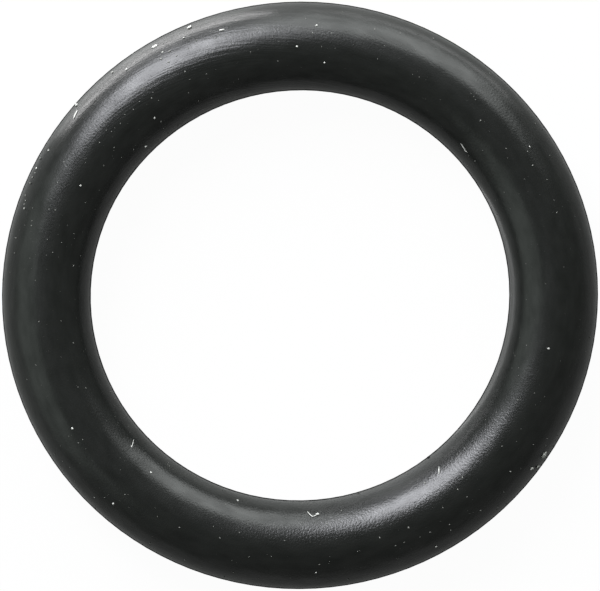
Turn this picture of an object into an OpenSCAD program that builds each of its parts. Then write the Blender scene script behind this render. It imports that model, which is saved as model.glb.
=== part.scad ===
// Rubber O-ring: one moulded ring of round section.
// It lies flat. The origin is the centre of the ring, on its mid-plane, and
// +Z runs along the ring's axis. All sizes are in millimetres.

/* [Ring] */
// Inside diameter of the ring, the first number in the name of its size
inside_d = 19; // [4:0.5:80]
// Diameter of the round section, the second number in the name of its size
section_d = 4; // [1:0.1:10]

/* [Parting line] */
// How far the trimmed flash stands proud of the round section, inside and outside
flash_proud = 0.03; // [0.01:0.01:0.15]
// Height of the flash along the axis, where the two halves of the mould met
flash_h = 0.12; // [0.06:0.01:0.2]

/* [Hidden] */

// Radius of the circle that the section is swept along
centreline_r = (inside_d + section_d) / 2;
// The flash runs straight across the section, from the inside edge to the outside one
flash_across = section_d + 2 * flash_proud;
// Sides to the circles on screen: the section is the smaller circle
ring_sides = 240;
section_sides = 96;

// The mould's cavity: a full circle
module round_section() {
    circle(d = section_d, $fn = section_sides);
}

// What shows of the parting line: a low square-edged land at each side of the circle
module parting_flash() {
    square([flash_across, flash_h], center = true);
}

module o_ring() {
    color("#2b2d2b")
    rotate_extrude($fn = ring_sides)
        translate([centreline_r, 0]) {
            round_section();
            parting_flash();
        }
}

o_ring();
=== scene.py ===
import bpy
import math
import random
import bmesh
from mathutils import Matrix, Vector


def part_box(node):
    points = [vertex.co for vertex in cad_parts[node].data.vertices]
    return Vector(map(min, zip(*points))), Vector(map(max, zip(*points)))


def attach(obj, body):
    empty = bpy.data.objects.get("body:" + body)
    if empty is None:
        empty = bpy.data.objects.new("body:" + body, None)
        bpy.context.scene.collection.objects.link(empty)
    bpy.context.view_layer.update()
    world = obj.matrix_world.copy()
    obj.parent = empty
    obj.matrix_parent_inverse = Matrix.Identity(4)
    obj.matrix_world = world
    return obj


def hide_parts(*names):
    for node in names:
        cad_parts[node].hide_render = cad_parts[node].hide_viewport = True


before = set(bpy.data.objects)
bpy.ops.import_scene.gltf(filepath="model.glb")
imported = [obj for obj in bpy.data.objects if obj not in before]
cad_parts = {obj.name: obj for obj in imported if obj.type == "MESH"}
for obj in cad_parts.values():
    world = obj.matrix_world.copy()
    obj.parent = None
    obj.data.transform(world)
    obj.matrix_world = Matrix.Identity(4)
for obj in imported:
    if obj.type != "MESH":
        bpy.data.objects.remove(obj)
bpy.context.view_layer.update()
mm = 0.001


def hexToLinear(code):
    # sRGB hex as picked on screen, turned to the linear values Blender wants
    values = [int(code[i:i + 2], 16) / 255 for i in (1, 3, 5)]
    return [v / 12.92 if v <= 0.04045 else ((v + 0.055) / 1.055) ** 2.4 for v in values] + [1.0]


def addNode(tree, kind, settings=None, **links):
    # one node with its settings; a link is a socket or a plain value, keyed by input name or "in" + number
    node = tree.nodes.new(kind)
    for name, value in (settings or {}).items():
        setattr(node, name, value)
    for name, value in links.items():
        key = int(name[2:]) if name[:2] == "in" and name[2:].isdigit() else name.replace("_", " ")
        if isinstance(value, bpy.types.NodeSocket):
            tree.links.new(value, node.inputs[key])
        else:
            node.inputs[key].default_value = value
    return node


def newMaterial(name):
    material = bpy.data.materials.new(name)
    material.use_nodes = True
    material.node_tree.nodes.clear()
    return material, material.node_tree


# The ring's own sizes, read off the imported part
low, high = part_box("o_ring")
ring = {
    "sectionR": (high.z - low.z) / 2,
    "flashProud": 0.03 * mm,
}
ring["outerR"] = (high.x - low.x) / 2 - ring["flashProud"]
ring["centreR"] = ring["outerR"] - ring["sectionR"]

# Where the picture was taken from: a long lens looking straight down the ring's axis
shot = {
    "pictureSize": (600, 591),
    "ringCentrePx": (300.0, 295.35),
    "pxPerMm": 21.87,
    "lensMm": 1000,
    "sensorMm": 36,
    "clip": (0.01, 10),
}


def addCamera():
    width, height = shot["pictureSize"]
    distance = shot["lensMm"] * width / shot["pxPerMm"] / shot["sensorMm"] * mm
    data = bpy.data.cameras.new("shotCamera")
    data.lens = shot["lensMm"]
    data.sensor_width = shot["sensorMm"]
    data.clip_start, data.clip_end = shot["clip"]
    camera = bpy.data.objects.new("shotCamera", data)
    bpy.context.scene.collection.objects.link(camera)
    centreX, centreY = shot["ringCentrePx"]
    camera.location = ((width / 2 - centreX) / shot["pxPerMm"] * mm,
                       (centreY - height / 2) / shot["pxPerMm"] * mm, distance)
    bpy.context.scene.camera = camera
    print("camera", round(distance, 4), "m away")


addCamera()

# Nitrile rubber, compression moulded in a blasted steel mould: near black, satin, with a fine dry grain.
# The real grain is nearer 0.04 mm, under a pixel wide, so it is drawn as coarse as it needs to show
rubber = {
    "baseColour": "#0a0c0a",
    "bloomColour": "#161816",
    "ior": 1.52,
    "roughness": 0.285,
    "roughnessSpread": 0.04,
    "cloudMm": 1.0,
    "cloudRoughness": 0.6,
    "grainMm": 0.09,
    "grainDepthMm": 0.006,
    "patchLengthMm": 1.1,
    "patchWidthMm": 0.4,
    "patchSpread": 0.45,
}
# One part of the mould was blasted coarser than the rest
coarsePart = {"azimuth": 290, "reachMm": 12, "grainDepthMm": 0.0085}
# Mould release wiped round one part of the ring: it leaves fine lines,
# and they spread the reflection across them
film = {
    "azimuth": 114,
    "reachMm": 12,
    "roughness": 0.03,
    "grainDepthMm": 0.0025,
    "lineWidthMm": 0.11,
    "lineLengthMm": 2.6,
    "lineSlant": 0.13,
    "lineDepthMm": 0.016,
}


def ringCoordinates(tree):
    # millimetres round the centreline and across the section, with no seam round the ring
    position = addNode(tree, "ShaderNodeTexCoord").outputs["Object"]
    inMm = addNode(tree, "ShaderNodeVectorMath", {"operation": "SCALE"},
                   in0=position, Scale=1 / mm).outputs[0]
    parts = addNode(tree, "ShaderNodeSeparateXYZ", in0=inMm)
    flat = addNode(tree, "ShaderNodeVectorMath", {"operation": "MULTIPLY"},
                   in0=inMm, in1=(1, 1, 0)).outputs[0]
    reach = addNode(tree, "ShaderNodeVectorMath", {"operation": "LENGTH"}, in0=flat).outputs["Value"]
    heading = addNode(tree, "ShaderNodeVectorMath", {"operation": "NORMALIZE"}, in0=flat).outputs[0]
    around = addNode(tree, "ShaderNodeVectorMath", {"operation": "SCALE"},
                     in0=heading, Scale=ring["centreR"] / mm).outputs[0]
    outward = addNode(tree, "ShaderNodeMath", {"operation": "SUBTRACT"},
                      in0=reach, in1=ring["centreR"] / mm).outputs[0]
    angle = addNode(tree, "ShaderNodeMath", {"operation": "ARCTAN2"},
                    in0=parts.outputs["Z"], in1=outward).outputs[0]
    across = addNode(tree, "ShaderNodeMath", {"operation": "MULTIPLY"},
                     in0=angle, in1=ring["sectionR"] / mm).outputs[0]
    return inMm, around, across


def stretchedNoise(tree, around, across, alongMm, acrossMm):
    # noise drawn out along the ring or across its section, by the two sizes
    flat = addNode(tree, "ShaderNodeVectorMath", {"operation": "SCALE"}, in0=around, Scale=1 / alongMm)
    lift = addNode(tree, "ShaderNodeMath", {"operation": "DIVIDE"}, in0=across, in1=acrossMm)
    lifted = addNode(tree, "ShaderNodeCombineXYZ", Z=lift.outputs[0])
    place = addNode(tree, "ShaderNodeVectorMath", {"operation": "ADD"},
                    in0=flat.outputs[0], in1=lifted.outputs[0])
    return addNode(tree, "ShaderNodeTexNoise", Vector=place.outputs[0], Scale=1.0, Detail=2.0).outputs["Fac"]


def partShare(tree, inMm, part):
    # 1 at the middle of a part of the ring, 0 beyond its reach
    heading = math.radians(part["azimuth"])
    spot = (ring["centreR"] / mm * math.cos(heading), ring["centreR"] / mm * math.sin(heading), 0)
    gap = addNode(tree, "ShaderNodeVectorMath", {"operation": "DISTANCE"}, in0=inMm, in1=spot)
    return addNode(tree, "ShaderNodeMapRange", {"interpolation_type": "SMOOTHSTEP"},
                   Value=gap.outputs["Value"], From_Min=part["reachMm"], From_Max=0.0).outputs["Result"]


def slantedAcross(tree, inMm, across):
    # the wipe runs a little outwards as it goes round; its seam is on the far side of the ring from the film
    parts = addNode(tree, "ShaderNodeSeparateXYZ", in0=inMm)
    turn = addNode(tree, "ShaderNodeMath", {"operation": "ARCTAN2"},
                   in0=parts.outputs["Y"], in1=parts.outputs["X"])
    return addNode(tree, "ShaderNodeMath", {"operation": "MULTIPLY_ADD"}, in0=turn.outputs[0],
                   in1=film["lineSlant"] * ring["centreR"] / mm, in2=across).outputs[0]


def weighted(tree, pairs):
    # the sum of each value times its weight
    total = 0.0
    for value, weight in pairs:
        total = addNode(tree, "ShaderNodeMath", {"operation": "MULTIPLY_ADD"},
                        in0=value, in1=weight, in2=total).outputs[0]
    return total


def makeRubber():
    material, tree = newMaterial("mouldedNitrileRubber")
    inMm, around, across = ringCoordinates(tree)
    filmed = partShare(tree, inMm, film)
    coarse = partShare(tree, inMm, coarsePart)
    clouds = addNode(tree, "ShaderNodeTexNoise", Vector=inMm, Scale=1 / rubber["cloudMm"], Detail=4.0,
                     Roughness=rubber["cloudRoughness"]).outputs["Fac"]
    grain = addNode(tree, "ShaderNodeTexNoise", Vector=inMm, Scale=1 / rubber["grainMm"],
                    Detail=2.0).outputs["Fac"]
    lines = stretchedNoise(tree, around, slantedAcross(tree, inMm, across),
                           film["lineLengthMm"], film["lineWidthMm"])
    lineDepth = weighted(tree, ((filmed, film["lineDepthMm"]),))

    grainDepth = weighted(tree, ((coarse, coarsePart["grainDepthMm"]), (filmed, film["grainDepthMm"]),
                                 (1.0, rubber["grainDepthMm"])))
    heightMm = weighted(tree, ((grain, grainDepth), (lines, lineDepth)))
    bump = addNode(tree, "ShaderNodeBump", Height=heightMm, Distance=mm)
    rough = weighted(tree, ((clouds, rubber["roughnessSpread"]), (filmed, film["roughness"]),
                            (1.0, rubber["roughness"] - rubber["roughnessSpread"] / 2)))
    colour = addNode(tree, "ShaderNodeMix", {"data_type": "RGBA"}, in0=clouds,
                     in6=hexToLinear(rubber["baseColour"]), in7=hexToLinear(rubber["bloomColour"]))
    # handling leaves the shine patchy
    patches = stretchedNoise(tree, around, across, rubber["patchLengthMm"], rubber["patchWidthMm"])
    shine = weighted(tree, ((patches, rubber["patchSpread"]), (1.0, 0.5 - rubber["patchSpread"] / 2)))
    shader = addNode(tree, "ShaderNodeBsdfPrincipled", Base_Color=colour.outputs["Result"], IOR=rubber["ior"],
                     Specular_IOR_Level=shine, Roughness=rough, Normal=bump.outputs[0])
    addNode(tree, "ShaderNodeOutputMaterial", Surface=shader.outputs[0])
    return material


# A soft ring never lies quite round: in the photo it is longer one way than the other
lie = {
    "stretch": 0.009,
    "longAxisDeg": 10,
}


def lieShift(heading):
    # how far out and how far round a point lies from its place on the round ring
    turn = 2 * (heading - math.radians(lie["longAxisDeg"]))
    shift = ring["centreR"] * lie["stretch"]
    return shift * math.cos(turn), -shift * math.sin(turn) / 2


def asItLies(point):
    # moves a point of the round ring to where the same point is on the ring in the photo
    heading = math.atan2(point.y, point.x)
    out, along = lieShift(heading)
    return point + Vector((out * math.cos(heading) - along * math.sin(heading),
                           out * math.sin(heading) + along * math.cos(heading), 0))


def layRing():
    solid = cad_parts["o_ring"]
    mesh = solid.data.copy()
    for vertex in mesh.vertices:
        vertex.co = asItLies(vertex.co)
    mesh.materials.clear()
    mesh.materials.append(makeRubber())
    body = bpy.data.objects.new("ringAsItLies", mesh)
    bpy.context.scene.collection.objects.link(body)
    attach(body, "root")
    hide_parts("o_ring")


layRing()
print("rubber on the ring")

# A place in the photo is carried down the camera's slightly slanted ray, a little closer each time,
# and kept just inside the ring's edge
aim = {
    "tries": 4,
    "edge": 0.995,
}


def onRing(place):
    # the point of the ring under a pixel of the photo, counted from the top left corner, and the way out of it
    centreX, centreY = shot["ringCentrePx"]
    x = (place[0] + 0.5 - centreX) / shot["pxPerMm"] * mm
    y = (centreY - place[1] - 0.5) / shot["pxPerMm"] * mm
    heading = math.atan2(y, x)
    middle = ring["centreR"] + lieShift(heading)[0]
    cameraZ = bpy.context.scene.camera.location.z
    height = 0
    for attempt in range(aim["tries"]):
        reach = math.hypot(x, y) * (1 - height / cameraZ)
        side = max(-aim["edge"], min(aim["edge"], (reach - middle) / ring["sectionR"]))
        height = ring["sectionR"] * math.sqrt(1 - side * side)
    outward = Vector((side * math.cos(heading), side * math.sin(heading), height / ring["sectionR"]))
    return Vector((reach * math.cos(heading), reach * math.sin(heading), height)), outward


def addPiece(name, shape, material):
    mesh = bpy.data.meshes.new(name)
    shape.to_mesh(mesh)
    shape.free()
    mesh.materials.append(material)
    piece = bpy.data.objects.new(name, mesh)
    bpy.context.scene.collection.objects.link(piece)
    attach(piece, "root")
    print(name, len(mesh.polygons), "faces")


# How uneven a crumb is, and how far its middle stands off the rubber as a share of its height
crumb = {
    "ragged": 0.35,
    "rise": 0.3,
}


def addCrumb(shape, chance, spot, outward, sizeMm, turnDeg, fineness=1, ragged=crumb["ragged"]):
    # an uneven lump, sized by length, width and height; turnDeg is its length's direction in the photo
    along = Vector((math.cos(math.radians(turnDeg)), math.sin(math.radians(turnDeg)), 0))
    along = (along - outward * along.dot(outward)).normalized()
    beside = outward.cross(along)
    lump = bmesh.ops.create_icosphere(shape, subdivisions=fineness, radius=0.5)
    for vertex in lump["verts"]:
        push = 1 + ragged * chance.uniform(-1, 1)
        x, y, z = (c * s * mm * push for c, s in zip(vertex.co, sizeMm))
        vertex.co = spot + along * x + beside * y + outward * (z + sizeMm[2] * crumb["rise"] * mm)


# Paper and cotton dust: matt grey grains of every small size, strewn over the upper side.
# The sizes crowd towards the smallest one, and the tilt goes over the section from one side to the other
dust = {
    "paleColour": "#858580",
    "greyColour": "#484845",
    "count": 1000,
    "smallestMm": 0.014,
    "largestMm": 0.06,
    "crowding": 3.5,
    "tiltDeg": (-25, 205),
    "lengthSpread": (1, 1.8),
    "flatness": 0.6,
    "shadesPerMm": 6,
    "roughness": 0.85,
    "ior": 1.4,
    "seed": 4,
}


def makeDust(name, pale, grey):
    # dry fibre dust is matt and lets no light through; the grains differ a little in shade
    material, tree = newMaterial(name)
    position = addNode(tree, "ShaderNodeTexCoord").outputs["Object"]
    shade = addNode(tree, "ShaderNodeTexNoise", Vector=position, Scale=dust["shadesPerMm"] / mm,
                    Detail=1.0)
    colour = addNode(tree, "ShaderNodeMix", {"data_type": "RGBA"}, in0=shade.outputs["Fac"],
                     in6=hexToLinear(grey), in7=hexToLinear(pale))
    shader = addNode(tree, "ShaderNodeBsdfPrincipled", Base_Color=colour.outputs["Result"],
                     Roughness=dust["roughness"], IOR=dust["ior"])
    addNode(tree, "ShaderNodeOutputMaterial", Surface=shader.outputs[0])
    return material


def strewDust():
    chance = random.Random(dust["seed"])
    shape = bmesh.new()
    for grain in range(dust["count"]):
        heading = chance.uniform(0, 2 * math.pi)
        tilt = math.radians(chance.uniform(*dust["tiltDeg"]))
        level = Vector((math.cos(heading), math.sin(heading), 0))
        outward = level * math.cos(tilt) + Vector((0, 0, math.sin(tilt)))
        centre = level * ring["centreR"]
        spread = chance.random() ** dust["crowding"]
        size = dust["smallestMm"] + (dust["largestMm"] - dust["smallestMm"]) * spread
        addCrumb(shape, chance, asItLies(centre + outward * ring["sectionR"]), outward,
                 (size * chance.uniform(*dust["lengthSpread"]), size, size * dust["flatness"]),
                 chance.uniform(0, 180))
    addPiece("fineDust", shape, makeDust("cottonDust", dust["paleColour"], dust["greyColour"]))


strewDust()

# The larger specks, at pixels read off the photo; only the places of the smear at the top
# are chosen for its look
specks = {
    "paleColour": "#a6a6a1",
    "greyColour": "#5c5c58",
    "sizeSpread": (0.7, 1.2),
    "length": 1.25,
    "height": 0.7,
    "groups": {
        "top": {
            "sizeMm": 0.06,
            "at": [(312, 32.5), (331, 32.5), (374, 29), (400, 33), (433, 38), (489, 73), (210, 31),
                   (305.5, 18)],
        },
        "upperLeft": {
            "sizeMm": 0.085,
            "at": [(169, 51), (112, 72), (184.5, 71), (160.5, 58.5), (168, 61.5)],
        },
        "topSmear": {
            "sizeMm": 0.05,
            "at": [(196, 40), (203, 37), (207, 45), (214, 38), (218, 34), (199, 50), (212, 52), (225, 36),
                   (188, 48), (231, 42), (205, 58), (176, 55)],
        },
        "smear": {
            "sizeMm": 0.055,
            "at": [(124.5, 114), (133, 109), (139, 101)],
        },
        "leftEdge": {
            "sizeMm": 0.085,
            "at": [(40, 158), (34.5, 172.5), (32, 177), (30, 183), (25, 195), (25, 200), (24, 204),
                   (24, 208), (31, 225), (15.5, 237.5)],
        },
        "left": {
            "sizeMm": 0.065,
            "at": [(73, 265), (47, 239)],
        },
        "bottom": {
            "sizeMm": 0.06,
            "at": [(224.5, 489), (219.5, 537.5), (348, 579), (326.5, 523.5), (341, 510), (400, 510),
                   (379, 537), (184.5, 559.5)],
        },
        "lowerRight": {
            "sizeMm": 0.065,
            "at": [(457, 489), (480, 510), (408, 527), (395, 545), (449, 524), (498, 506), (510, 471),
                   (462, 477), (424.5, 482.5), (553, 445.5)],
        },
        "right": {
            "sizeMm": 0.07,
            "at": [(480, 120), (527, 151), (532, 165)],
        },
        "faint": {
            "sizeMm": 0.045,
            "at": [(278.5, 41), (268.5, 29), (342, 12), (318.5, 22.5), (412, 74), (475, 99), (470.5, 93),
                   (534.5, 123), (507, 157.5), (474.5, 160.5), (467, 165), (556, 212), (488, 444.5),
                   (546.5, 438), (533, 444), (503, 491.5), (466.5, 496.5), (442.5, 507), (429.5, 531.5),
                   (419.5, 536.5), (357, 551), (335.5, 538), (329, 561), (284, 540), (271, 556),
                   (239, 532), (213, 526), (179, 527), (124.5, 494), (104, 497), (94, 497), (62, 461),
                   (60, 445.5), (78, 442.5), (61, 242), (52, 252), (85, 202), (48.5, 208.5), (57, 182),
                   (85, 162), (121, 157), (133, 149), (99, 142), (111, 131), (120, 123), (131, 97),
                   (152.5, 92), (151, 97.5), (158, 100)],
        },
    },
}
# Flakes and chips: size is length, width and height in mm,
# turn is the length's direction in the photo in degrees
chips = {
    "cornerFlake": {"at": (75, 114), "size": (0.46, 0.1, 0.05), "turn": 93},
    "cornerBump": {"at": (76, 105), "size": (0.15, 0.13, 0.1), "turn": 20},
    "topChip": {"at": (189, 27), "size": (0.24, 0.17, 0.09), "turn": 70},
    "topSliver": {"at": (221.5, 29.5), "size": (0.26, 0.07, 0.05), "turn": 4},
    "topShard": {"at": (154, 46), "size": (0.26, 0.15, 0.06), "turn": 15},
    "lowFlake": {"at": (543, 454.5), "size": (0.34, 0.24, 0.12), "turn": 55},
    "lowChip": {"at": (537, 466), "size": (0.18, 0.16, 0.1), "turn": 60},
    "lowCrumb": {"at": (531, 468), "size": (0.18, 0.16, 0.09), "turn": 20},
    "innerSliver": {"at": (438.5, 470), "size": (0.4, 0.045, 0.03), "turn": 102},
    "rightDot": {"at": (548, 348), "size": (0.1, 0.09, 0.07), "turn": 0},
    "lintEnd": {"at": (317, 514), "size": (0.15, 0.12, 0.1), "turn": 30},
    "lintFoot": {"at": (131, 446), "size": (0.08, 0.06, 0.05), "turn": 90},
}
# Single white specks, the brightest ones
whiteDots = {
    "sizeMm": 0.085,
    "sizeSpread": (0.8, 1.2),
    "at": [(162, 52), (126, 69), (183.5, 37.5), (48, 150), (36, 168), (154, 117.5), (145, 146), (80, 185),
           (72, 428), (150.5, 472), (113, 503), (237, 500), (315.5, 572), (435.5, 546), (529, 146),
           (324, 62), (316, 25), (296.5, 46)],
}
# Lint: each fibre runs through these pixels
fibres = {
    "curledLint": {"path": [(307, 511), (309, 514), (312, 516.5), (315, 515.5), (317, 513.5)],
                   "thickMm": 0.05},
    "rightLint": {"path": [(460.5, 143), (463, 146.5), (465, 150), (467, 152)], "thickMm": 0.04},
    "leftLint": {"path": [(133, 439), (132.5, 442), (131.5, 445), (131, 447)], "thickMm": 0.028},
}
fibreShape = {"sides": 6, "endShare": 0.4}
chipLook = {"paleColour": "#f0f0ec", "greyColour": "#a5a59e", "fineness": 2, "ragged": 0.25}


def addFibre(shape, path, thickMm):
    # a thin bent strand that lies on the ring, thinner at its ends
    sides = fibreShape["sides"]
    last = len(path) - 1
    rings = []
    for count, place in enumerate(path):
        spot, outward = onRing(place)
        ahead = onRing(path[min(count + 1, last)])[0] - onRing(path[max(count - 1, 0)])[0]
        beside = outward.cross(ahead).normalized()
        half = thickMm / 2 * mm * (fibreShape["endShare"] if count in (0, last) else 1)
        turns = [math.radians(360 / sides * side) for side in range(sides)]
        middle = spot + outward * half
        rings.append([shape.verts.new(middle + (beside * math.cos(a) + outward * math.sin(a)) * half)
                      for a in turns])
    for near, far in zip(rings, rings[1:]):
        for side in range(sides):
            shape.faces.new((near[side], near[side - 1], far[side - 1], far[side]))
    shape.faces.new(rings[0])
    shape.faces.new(rings[-1][::-1])


def addSpeck(shape, chance, place, sizeMm, sizeSpread):
    # a small crumb, a little longer and lower than it is wide
    size = sizeMm * chance.uniform(*sizeSpread)
    addCrumb(shape, chance, *onRing(place), (size * specks["length"], size, size * specks["height"]),
             chance.uniform(0, 180))


def placeSpecks():
    chance = random.Random(dust["seed"] + 1)
    shape = bmesh.new()
    for group in specks["groups"].values():
        for place in group["at"]:
            addSpeck(shape, chance, place, group["sizeMm"], specks["sizeSpread"])
    addPiece("placedSpecks", shape, makeDust("paperDust", specks["paleColour"], specks["greyColour"]))


def placeChips():
    chance = random.Random(dust["seed"] + 2)
    shape = bmesh.new()
    for chip in chips.values():
        addCrumb(shape, chance, *onRing(chip["at"]), chip["size"], chip["turn"],
                 chipLook["fineness"], chipLook["ragged"])
    for place in whiteDots["at"]:
        addSpeck(shape, chance, place, whiteDots["sizeMm"], whiteDots["sizeSpread"])
    for fibre in fibres.values():
        addFibre(shape, fibre["path"], fibre["thickMm"])
    addPiece("chipsAndLint", shape, makeDust("paperChips", chipLook["paleColour"], chipLook["greyColour"]))


placeSpecks()
placeChips()

# A crumb of the ring's own rubber left on the inner flash
flashCrumb = {
    "at": (428, 457.2),
    "size": (0.16, 0.09, 0.09),
    "turn": 35,
    "fineness": 2,
    "ragged": 0.12,
    "colour": "#0b0c0b",
    "edgeColour": "#151615",
}


def addFlashCrumb():
    shape = bmesh.new()
    addCrumb(shape, random.Random(dust["seed"] + 3), *onRing(flashCrumb["at"]), flashCrumb["size"],
             flashCrumb["turn"], flashCrumb["fineness"], flashCrumb["ragged"])
    addPiece("flashCrumb", shape, makeDust("tornRubber", flashCrumb["edgeColour"], flashCrumb["colour"]))


addFlashCrumb()

# White painted table under the ring: matt white to the camera, a dull satin grey where the ring mirrors it.
# The shares say how much of the plain white background each kind of ray sees
table = {
    "colour": "#f4f4f3",
    "bounceColour": "#999a97",
    "metallic": 0.7,
    "roughness": 0.55,
    "halfSize": 0.6,
    "cameraShare": 0.97,
    "glossyShare": 0.155,
}


def backgroundShare(tree):
    # how much of the plain white each kind of ray gets; the rest is the lit surface with the ring's shadow
    path = addNode(tree, "ShaderNodeLightPath")
    share = addNode(tree, "ShaderNodeMath", {"operation": "MULTIPLY"},
                    in0=path.outputs["Is Camera Ray"], in1=table["cameraShare"]).outputs[0]
    mirrored = (("Is Glossy Ray", table["glossyShare"]), ("Is Transmission Ray", table["cameraShare"]))
    for ray, part in mirrored:
        share = addNode(tree, "ShaderNodeMath", {"operation": "MULTIPLY_ADD"},
                        in0=path.outputs[ray], in1=part, in2=share).outputs[0]
    return share


def addTable():
    material, tree = newMaterial("whiteTable")
    seen = addNode(tree, "ShaderNodeLightPath").outputs["Is Camera Ray"]
    colour = addNode(tree, "ShaderNodeMix", {"data_type": "RGBA"}, in0=seen,
                     in6=hexToLinear(table["bounceColour"]), in7=hexToLinear(table["colour"]))
    metallic = addNode(tree, "ShaderNodeMath", {"operation": "MULTIPLY_ADD"},
                       in0=seen, in1=-table["metallic"], in2=table["metallic"])
    lit = addNode(tree, "ShaderNodeBsdfPrincipled", Base_Color=colour.outputs["Result"],
                  Metallic=metallic.outputs[0], Roughness=table["roughness"])
    plain = addNode(tree, "ShaderNodeEmission", Color=(1, 1, 1, 1), Strength=1.0)
    mix = addNode(tree, "ShaderNodeMixShader", in0=backgroundShare(tree),
                  in1=lit.outputs[0], in2=plain.outputs[0])
    addNode(tree, "ShaderNodeOutputMaterial", Surface=mix.outputs[0])
    half = table["halfSize"]
    corners = [(-half, -half, low.z), (half, -half, low.z), (half, half, low.z), (-half, half, low.z)]
    mesh = bpy.data.meshes.new("whiteTable")
    mesh.from_pydata(corners, [], [(0, 1, 2, 3)])
    mesh.materials.append(material)
    top = bpy.data.objects.new("whiteTable", mesh)
    bpy.context.scene.collection.objects.link(top)


addTable()

# Weak light from all round, where the camera doesn't see the white background
room = {
    "colour": "#f1fff1",
    "strength": 0.08,
}


def setWorld():
    world = bpy.data.worlds.new("studio")
    bpy.context.scene.world = world
    world.use_nodes = True
    tree = world.node_tree
    tree.nodes.clear()
    dim = addNode(tree, "ShaderNodeBackground", Color=hexToLinear(room["colour"]), Strength=room["strength"])
    plain = addNode(tree, "ShaderNodeBackground", Color=(1, 1, 1, 1), Strength=1.0)
    mix = addNode(tree, "ShaderNodeMixShader", in0=backgroundShare(tree),
                  in1=dim.outputs[0], in2=plain.outputs[0])
    addNode(tree, "ShaderNodeOutputWorld", Surface=mix.outputs[0])


setWorld()

# Azimuth is counter-clockwise from +X and height is above the ring's mid-plane, both in degrees;
# distance is from the ring's centre and sizes are in metres. The small strips stand for light that
# the table throws back at the rims, and a negative distance is across the centre, facing outwards
lamps = {
    "keySoftbox": {"azimuth": 120, "height": 40, "distance": 0.4, "size": (0.2, 0.33), "power": 2.2,
                   "shape": "ELLIPSE", "colour": "#f8f9ff"},
    "topWindow": {"azimuth": 72, "height": 22, "distance": 0.4, "size": (0.37, 0.34), "power": 1.4,
                  "shape": "RECTANGLE", "colour": "#f8fcfb"},
    "leftWall": {"azimuth": 184, "height": 32, "distance": 0.4, "size": (0.42, 0.4), "power": 0.34,
                 "shape": "RECTANGLE", "colour": "#f3fff7"},
    "shelfStrip": {"azimuth": 117, "height": 3, "distance": 0.4, "size": (0.17, 0.05), "power": 0.11,
                   "shape": "RECTANGLE", "colour": "#f8f9ff"},
    "lowStrip": {"azimuth": 120, "height": -3.4, "distance": 0.0205, "size": (0.018, 0.0016), "power": 0.0009,
                 "shape": "RECTANGLE", "colour": "#fdfbfc"},
    "holeStrip": {"azimuth": 120, "height": -8, "distance": 0.008, "size": (0.0075, 0.0014), "power": 0.00012,
                  "shape": "RECTANGLE", "colour": "#fbfbfc", "shineOnly": True},
    "footStrip": {"azimuth": 124, "height": -6, "distance": 0.0157, "size": (0.013, 0.0012), "power": 0.0001,
                  "shape": "RECTANGLE", "colour": "#fbfbfc", "shineOnly": True},
    "innerFootStrip": {"azimuth": 174, "height": 12, "distance": -0.0073, "size": (0.012, 0.0012),
                       "power": 0.000045, "shape": "RECTANGLE", "colour": "#fbfbfc", "shineOnly": True},
    "sillStrip": {"azimuth": 66, "height": -4, "distance": 0.0215, "size": (0.018, 0.0012), "power": 0.00018,
                  "shape": "RECTANGLE", "colour": "#fbfbfc"},
}


def addLamp(name, lamp):
    data = bpy.data.lights.new(name, "AREA")
    data.shape = lamp["shape"]
    data.size, data.size_y = lamp["size"]
    data.energy = lamp["power"]
    data.color = hexToLinear(lamp["colour"])[:3]
    a, h = math.radians(lamp["azimuth"]), math.radians(lamp["height"])
    away = Vector((math.cos(a) * math.cos(h), math.sin(a) * math.cos(h), math.sin(h)))
    light = bpy.data.objects.new(name, data)
    light.location = away * lamp["distance"]
    light.rotation_mode = "QUATERNION"
    light.rotation_quaternion = away.to_track_quat("Z", "Y")
    light.visible_camera = False
    light.visible_diffuse = "shineOnly" not in lamp
    bpy.context.scene.collection.objects.link(light)


for name, lamp in lamps.items():
    addLamp(name, lamp)
print("lamps", len(lamps))

bpy.context.scene.view_settings.view_transform = "Standard"
